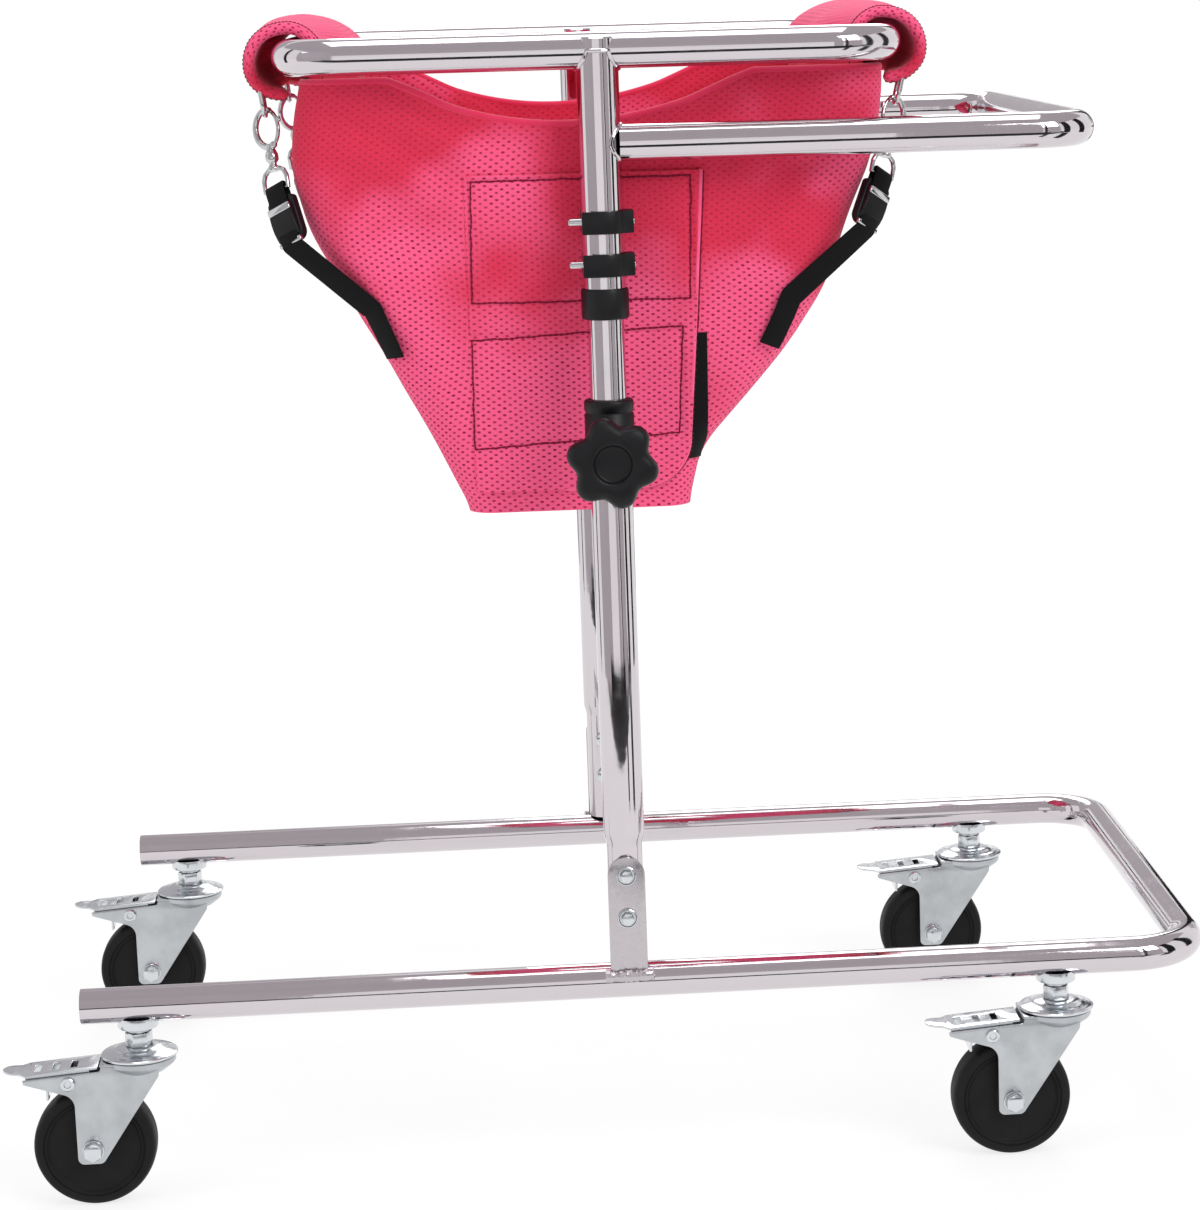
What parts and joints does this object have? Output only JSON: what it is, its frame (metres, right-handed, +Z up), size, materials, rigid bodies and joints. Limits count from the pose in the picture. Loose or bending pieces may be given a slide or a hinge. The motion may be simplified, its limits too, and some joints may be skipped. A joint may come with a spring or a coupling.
{
  "type": "walker with hanging seat",
  "caption": "Small child's walking frame: chrome tube base on braked swivel casters, height-adjustable uprights, a ring with a handle, and a fabric seat with leg openings.",
  "frame": {"origin": "centre of the bounding box at floor level", "axes": "+X forward towards the closed end of the base and the handle, +Y to the child's left, +Z up"},
  "size_m": [0.758, 0.4606, 0.7178],
  "materials": {
    "chrome_plate": "bright chrome plate",
    "zinc_plate": "satin bright zinc plate",
    "bright_steel": "bright nickel plate",
    "black_plastic": "satin moulded plastic",
    "black_rubber": "semi-matte",
    "pink_mesh_fabric": "soft spacer mesh with rows of small holes",
    "black_webbing": "woven"
  },
  "bodies": {
    "base": {"base_frame": "chrome_plate", "left_foot_bracket": "chrome_plate", "left_upper_foot_bolt": "zinc_plate", "left_lower_foot_bolt": "zinc_plate", "left_lower_tube": "chrome_plate", "left_clamp_collar": "black_plastic", "rear_left_caster_stem": "zinc_plate", "front_left_caster_stem": "zinc_plate", "right_foot_bracket": "chrome_plate", "right_upper_foot_bolt": "zinc_plate", "right_lower_foot_bolt": "zinc_plate", "right_lower_tube": "chrome_plate", "right_clamp_collar": "black_plastic", "rear_right_caster_stem": "zinc_plate", "front_right_caster_stem": "zinc_plate"},
    "mast": {"top_ring": "chrome_plate", "handle_bar": "chrome_plate", "seat_sling": "pink_mesh_fabric", "left_inner_tube": "chrome_plate", "left_upper_tube": "chrome_plate", "left_end_sleeve": "black_plastic", "left_closure_flap": "pink_mesh_fabric", "rear_left_snap_hook": "bright_steel", "rear_left_strap": "black_webbing", "front_left_snap_hook": "bright_steel", "front_left_strap": "black_webbing", "right_inner_tube": "chrome_plate", "right_upper_tube": "chrome_plate", "right_end_sleeve": "black_plastic", "right_closure_flap": "pink_mesh_fabric", "rear_right_snap_hook": "bright_steel", "rear_right_strap": "black_webbing", "front_right_snap_hook": "bright_steel", "front_right_strap": "black_webbing"},
    "left_knob": {"left_star_knob": "black_plastic"},
    "left_lower_clip_pin": {"left_lower_clip": "black_plastic", "left_lower_pin": "bright_steel"},
    "left_upper_clip_pin": {"left_upper_clip": "black_plastic", "left_upper_pin": "bright_steel"},
    "rear_left_caster": {"rear_left_fork": "zinc_plate", "rear_left_axle_bolt": "zinc_plate"},
    "rear_left_rolling_wheel": {"rear_left_wheel": "black_rubber"},
    "rear_left_pedal": {"rear_left_brake_pedal": "zinc_plate"},
    "front_left_caster": {"front_left_fork": "zinc_plate", "front_left_axle_bolt": "zinc_plate"},
    "front_left_rolling_wheel": {"front_left_wheel": "black_rubber"},
    "front_left_pedal": {"front_left_brake_pedal": "zinc_plate"},
    "right_knob": {"right_star_knob": "black_plastic"},
    "right_lower_clip_pin": {"right_lower_clip": "black_plastic", "right_lower_pin": "bright_steel"},
    "right_upper_clip_pin": {"right_upper_clip": "black_plastic", "right_upper_pin": "bright_steel"},
    "rear_right_caster": {"rear_right_fork": "zinc_plate", "rear_right_axle_bolt": "zinc_plate"},
    "rear_right_rolling_wheel": {"rear_right_wheel": "black_rubber"},
    "rear_right_pedal": {"rear_right_brake_pedal": "zinc_plate"},
    "front_right_caster": {"front_right_fork": "zinc_plate", "front_right_axle_bolt": "zinc_plate"},
    "front_right_rolling_wheel": {"front_right_wheel": "black_rubber"},
    "front_right_pedal": {"front_right_brake_pedal": "zinc_plate"}
  },
  "joints": [
    {"name": "mast_height", "type": "slide", "parent": "base", "child": "mast", "axis": [0, 0, 1], "range_m": [-0.048, 0.1]},
    {"name": "left_knob_turn", "type": "hinge", "parent": "base", "child": "left_knob", "pos_m": [0.009, 0.19, 0.4546], "axis": [0, 1, 0], "range_deg": [-30, 720]},
    {"name": "left_lower_clip_pull", "type": "slide", "parent": "mast", "child": "left_lower_clip_pin", "axis": [1, 0, 0], "range_m": [0, 0.04]},
    {"name": "left_upper_clip_pull", "type": "slide", "parent": "mast", "child": "left_upper_clip_pin", "axis": [1, 0, 0], "range_m": [0, 0.04]},
    {"name": "rear_left_swivel", "type": "hinge", "parent": "base", "child": "rear_left_caster", "pos_m": [-0.295, 0.19, 0.0925], "axis": [0, 0, 1], "continuous": true},
    {"name": "rear_left_roll", "type": "hinge", "parent": "rear_left_caster", "child": "rear_left_rolling_wheel", "pos_m": [-0.325, 0.19, 0.0375], "axis": [0, 1, 0], "continuous": true},
    {"name": "rear_left_brake", "type": "hinge", "parent": "rear_left_caster", "child": "rear_left_pedal", "pos_m": [-0.338, 0.19, 0.081], "axis": [0, -1, 0], "range_deg": [0, 12]},
    {"name": "front_left_swivel", "type": "hinge", "parent": "base", "child": "front_left_caster", "pos_m": [0.278, 0.19, 0.0925], "axis": [0, 0, 1], "continuous": true},
    {"name": "front_left_roll", "type": "hinge", "parent": "front_left_caster", "child": "front_left_rolling_wheel", "pos_m": [0.248, 0.19, 0.0375], "axis": [0, 1, 0], "continuous": true},
    {"name": "front_left_brake", "type": "hinge", "parent": "front_left_caster", "child": "front_left_pedal", "pos_m": [0.235, 0.19, 0.081], "axis": [0, -1, 0], "range_deg": [0, 12]},
    {"name": "right_knob_turn", "type": "hinge", "parent": "base", "child": "right_knob", "pos_m": [0.009, -0.19, 0.4546], "axis": [0, 1, 0], "range_deg": [-30, 720]},
    {"name": "right_lower_clip_pull", "type": "slide", "parent": "mast", "child": "right_lower_clip_pin", "axis": [1, 0, 0], "range_m": [0, 0.04]},
    {"name": "right_upper_clip_pull", "type": "slide", "parent": "mast", "child": "right_upper_clip_pin", "axis": [1, 0, 0], "range_m": [0, 0.04]},
    {"name": "rear_right_swivel", "type": "hinge", "parent": "base", "child": "rear_right_caster", "pos_m": [-0.295, -0.19, 0.0925], "axis": [0, 0, 1], "continuous": true},
    {"name": "rear_right_roll", "type": "hinge", "parent": "rear_right_caster", "child": "rear_right_rolling_wheel", "pos_m": [-0.325, -0.19, 0.0375], "axis": [0, 1, 0], "continuous": true},
    {"name": "rear_right_brake", "type": "hinge", "parent": "rear_right_caster", "child": "rear_right_pedal", "pos_m": [-0.338, -0.19, 0.081], "axis": [0, -1, 0], "range_deg": [0, 12]},
    {"name": "front_right_swivel", "type": "hinge", "parent": "base", "child": "front_right_caster", "pos_m": [0.278, -0.19, 0.0925], "axis": [0, 0, 1], "continuous": true},
    {"name": "front_right_roll", "type": "hinge", "parent": "front_right_caster", "child": "front_right_rolling_wheel", "pos_m": [0.248, -0.19, 0.0375], "axis": [0, 1, 0], "continuous": true},
    {"name": "front_right_brake", "type": "hinge", "parent": "front_right_caster", "child": "front_right_pedal", "pos_m": [0.235, -0.19, 0.081], "axis": [0, -1, 0], "range_deg": [0, 12]}
  ]
}
